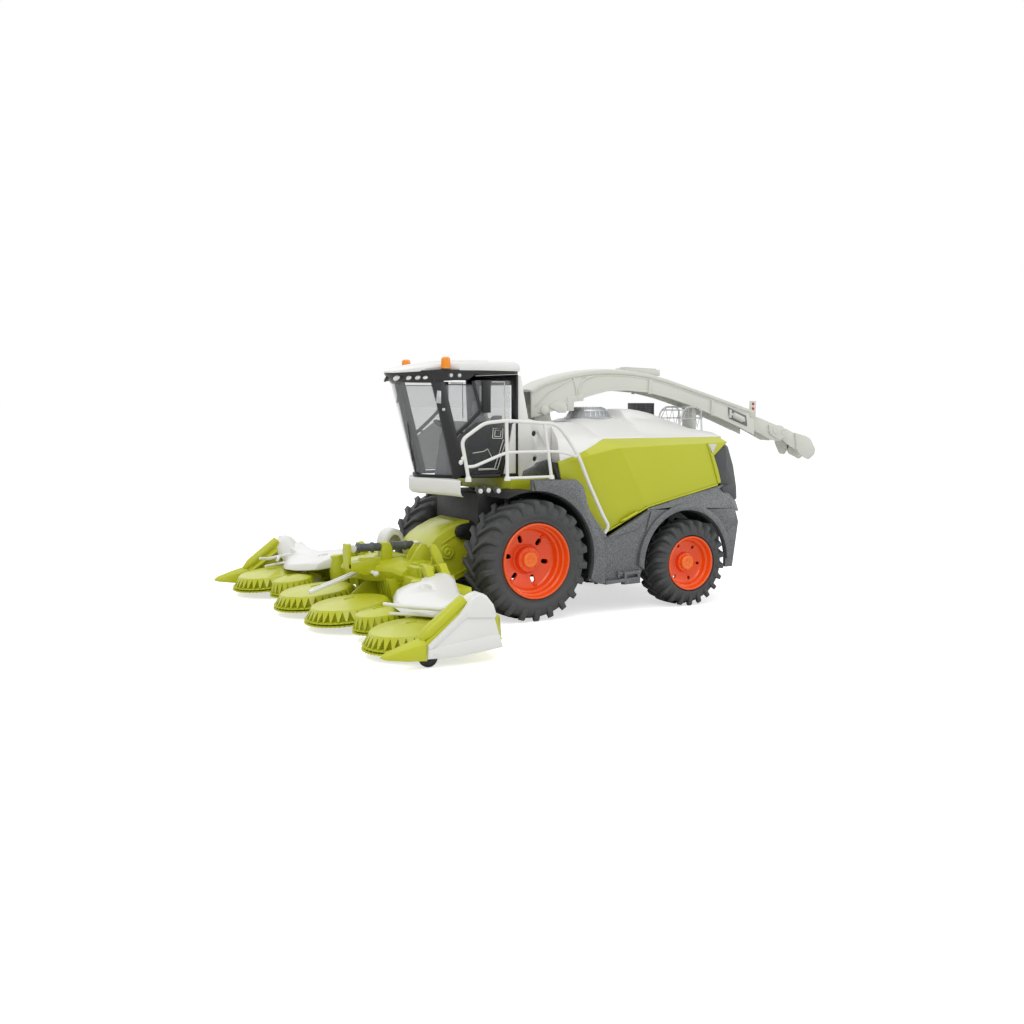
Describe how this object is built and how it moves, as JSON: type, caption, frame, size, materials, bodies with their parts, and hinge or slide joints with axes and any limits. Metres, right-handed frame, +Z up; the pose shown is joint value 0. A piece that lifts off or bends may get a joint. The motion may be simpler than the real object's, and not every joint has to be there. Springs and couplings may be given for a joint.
{
  "type": "toy forage harvester",
  "caption": "Plastic toy forage harvester with a folding rotary maize header, glazed cab, side railings and a jointed discharge spout over the rear.",
  "frame": {"origin": "centre of the bottom of the bounding box, on the surface the wheels stand on", "axes": "+X forward to the header, +Y to the left side of the vehicle, +Z up"},
  "size_m": [0.6478, 0.482, 0.25],
  "materials": {
    "lime_plastic": "semi-gloss moulded plastic",
    "white_plastic": "semi-gloss moulded plastic",
    "metallic_grey_plastic": "plastic with fine metallic flake",
    "dark_plastic": "matt",
    "black_plastic": "semi-gloss",
    "clear_plastic": "clear, slightly smoked",
    "amber_plastic": "translucent gloss",
    "tyre_rubber": "soft matt",
    "orange_red_plastic": "semi-gloss",
    "spout_plastic": "satin off-white",
    "silver_plastic": "silver, satin"
  },
  "bodies": {
    "chassis": {"chassis": "dark_plastic", "side_fender_L": "metallic_grey_plastic", "side_fender_R": "metallic_grey_plastic", "hood_side_panel_L": "lime_plastic", "hood_side_panel_R": "lime_plastic", "engine_hood": "white_plastic", "air_intake_dome": "silver_plastic", "exhaust_box": "dark_plastic", "rear_grille": "dark_plastic", "cab_platform": "lime_plastic", "cab_frame": "black_plastic", "cab_roof": "white_plastic", "cab_visor": "black_plastic", "windscreen": "clear_plastic", "cab_seat": "dark_plastic", "steering_console": "dark_plastic", "beacon_L": "amber_plastic", "beacon_R": "amber_plastic", "cab_rear_panel_L": "white_plastic", "cab_rear_panel_R": "white_plastic", "side_railing": "white_plastic", "spout_turret": "dark_plastic"},
    "front_wheel_L": {"tyre_front_L": "tyre_rubber", "rim_front_L": "orange_red_plastic"},
    "front_wheel_R": {"tyre_front_R": "tyre_rubber", "rim_front_R": "orange_red_plastic"},
    "knuckle_L": {"steering_knuckle_L": "dark_plastic"},
    "knuckle_R": {"steering_knuckle_R": "dark_plastic"},
    "rear_wheel_L": {"tyre_rear_L": "tyre_rubber", "rim_rear_L": "orange_red_plastic"},
    "rear_wheel_R": {"tyre_rear_R": "tyre_rubber", "rim_rear_R": "orange_red_plastic"},
    "door_L": {"cab_door_L": "clear_plastic"},
    "door_R": {"cab_door_R": "clear_plastic"},
    "spout_ring": {"spout_ring": "spout_plastic"},
    "spout": {"spout_arm": "spout_plastic"},
    "flap_upper": {"spout_flap_upper": "spout_plastic"},
    "flap_lower": {"spout_flap_lower": "spout_plastic"},
    "header": {"feeder_housing": "lime_plastic", "header_frame": "lime_plastic", "fold_rams": "silver_plastic", "drive_hood": "white_plastic", "centre_guide": "white_plastic"},
    "wing_L": {"wing_frame_L": "lime_plastic", "wing_cover_L": "white_plastic", "divider_cover_L": "white_plastic"},
    "wing_R": {"wing_frame_R": "lime_plastic", "wing_cover_R": "white_plastic", "divider_cover_R": "white_plastic"},
    "rotor_inner_L": {"rotor_inner_L": "lime_plastic"},
    "rotor_inner_R": {"rotor_inner_R": "lime_plastic"},
    "rotor_middle_L": {"rotor_middle_L": "lime_plastic"},
    "rotor_middle_R": {"rotor_middle_R": "lime_plastic"},
    "rotor_outer_L": {"rotor_outer_L": "lime_plastic"},
    "rotor_outer_R": {"rotor_outer_R": "lime_plastic"},
    "support_wheel_L": {"support_wheel_L": "black_plastic"},
    "support_wheel_R": {"support_wheel_R": "black_plastic"}
  },
  "joints": [
    {"name": "front_wheel_spin_L", "type": "hinge", "parent": "chassis", "child": "front_wheel_L", "pos_m": [0.10865, 0.08, 0.058], "axis": [0, 1, 0], "continuous": true},
    {"name": "front_wheel_spin_R", "type": "hinge", "parent": "chassis", "child": "front_wheel_R", "pos_m": [0.10865, -0.08, 0.058], "axis": [0, 1, 0], "continuous": true},
    {"name": "rear_steer_L", "type": "hinge", "parent": "chassis", "child": "knuckle_L", "pos_m": [-0.07405, 0.07, 0.0441], "axis": [0, 0, 1], "range_deg": [-15, 15]},
    {"name": "rear_steer_R", "type": "hinge", "parent": "chassis", "child": "knuckle_R", "pos_m": [-0.07405, -0.07, 0.0441], "axis": [0, 0, 1], "range_deg": [-15, 15]},
    {"name": "rear_wheel_spin_L", "type": "hinge", "parent": "knuckle_L", "child": "rear_wheel_L", "pos_m": [-0.07405, 0.083, 0.0441], "axis": [0, 1, 0], "continuous": true},
    {"name": "rear_wheel_spin_R", "type": "hinge", "parent": "knuckle_R", "child": "rear_wheel_R", "pos_m": [-0.07405, -0.083, 0.0441], "axis": [0, 1, 0], "continuous": true},
    {"name": "cab_door_hinge_L", "type": "hinge", "parent": "chassis", "child": "door_L", "pos_m": [0.10405, 0.047, 0.185], "axis": [0, 0, 1], "range_deg": [0, 22]},
    {"name": "cab_door_hinge_R", "type": "hinge", "parent": "chassis", "child": "door_R", "pos_m": [0.10405, -0.047, 0.185], "axis": [0, 0, -1], "range_deg": [0, 22]},
    {"name": "spout_swivel", "type": "hinge", "parent": "chassis", "child": "spout_ring", "pos_m": [0.04465, 0, 0.182], "axis": [0, 0, 1], "range_deg": [-90, 90]},
    {"name": "spout_lift", "type": "hinge", "parent": "spout_ring", "child": "spout", "pos_m": [0.04965, 0, 0.199], "axis": [0, 1, 0], "range_deg": [0, 12]},
    {"name": "spout_flap_upper_hinge", "type": "hinge", "parent": "spout", "child": "flap_upper", "pos_m": [-0.22235, 0, 0.19], "axis": [0, -1, 0], "range_deg": [-8, 30]},
    {"name": "spout_flap_lower_hinge", "type": "hinge", "parent": "flap_upper", "child": "flap_lower", "pos_m": [-0.27035, 0, 0.174], "axis": [0, -1, 0], "range_deg": [0, 30]},
    {"name": "header_lift", "type": "hinge", "parent": "chassis", "child": "header", "pos_m": [0.15465, 0, 0.082], "axis": [0, -1, 0], "range_deg": [0, 6]},
    {"name": "wing_fold_L", "type": "hinge", "parent": "header", "child": "wing_L", "pos_m": [0.21258, 0.0884, 0.05416], "axis": [0.9936, 0, -0.1132], "range_deg": [0, 90]},
    {"name": "wing_fold_R", "type": "hinge", "parent": "header", "child": "wing_R", "pos_m": [0.21258, -0.0884, 0.05416], "axis": [-0.9936, 0, 0.1132], "range_deg": [0, 90]},
    {"name": "rotor_inner_L_spin", "type": "hinge", "parent": "header", "child": "rotor_inner_L", "pos_m": [0.2741, 0.0445, 0.01997], "axis": [0.1132, 0, 0.9936], "continuous": true},
    {"name": "rotor_inner_R_spin", "type": "hinge", "parent": "header", "child": "rotor_inner_R", "pos_m": [0.2741, -0.0445, 0.01997], "axis": [0.1132, 0, 0.9936], "continuous": true},
    {"name": "rotor_middle_L_spin", "type": "hinge", "parent": "wing_L", "child": "rotor_middle_L", "pos_m": [0.2741, 0.1142, 0.01997], "axis": [0.1132, 0, 0.9936], "continuous": true},
    {"name": "rotor_middle_R_spin", "type": "hinge", "parent": "wing_R", "child": "rotor_middle_R", "pos_m": [0.2741, -0.1142, 0.01997], "axis": [0.1132, 0, 0.9936], "continuous": true},
    {"name": "rotor_outer_L_spin", "type": "hinge", "parent": "wing_L", "child": "rotor_outer_L", "pos_m": [0.2741, 0.1831, 0.01997], "axis": [0.1132, 0, 0.9936], "continuous": true},
    {"name": "rotor_outer_R_spin", "type": "hinge", "parent": "wing_R", "child": "rotor_outer_R", "pos_m": [0.2741, -0.1831, 0.01997], "axis": [0.1132, 0, 0.9936], "continuous": true},
    {"name": "support_wheel_spin_L", "type": "hinge", "parent": "wing_L", "child": "support_wheel_L", "pos_m": [0.28165, 0.23, 0.008], "axis": [0, 1, 0], "continuous": true},
    {"name": "support_wheel_spin_R", "type": "hinge", "parent": "wing_R", "child": "support_wheel_R", "pos_m": [0.28165, -0.23, 0.008], "axis": [0, 1, 0], "continuous": true}
  ],
  "couplings": [
    {"joint": "rear_steer_R", "follows": "rear_steer_L", "ratio": 1}
  ]
}
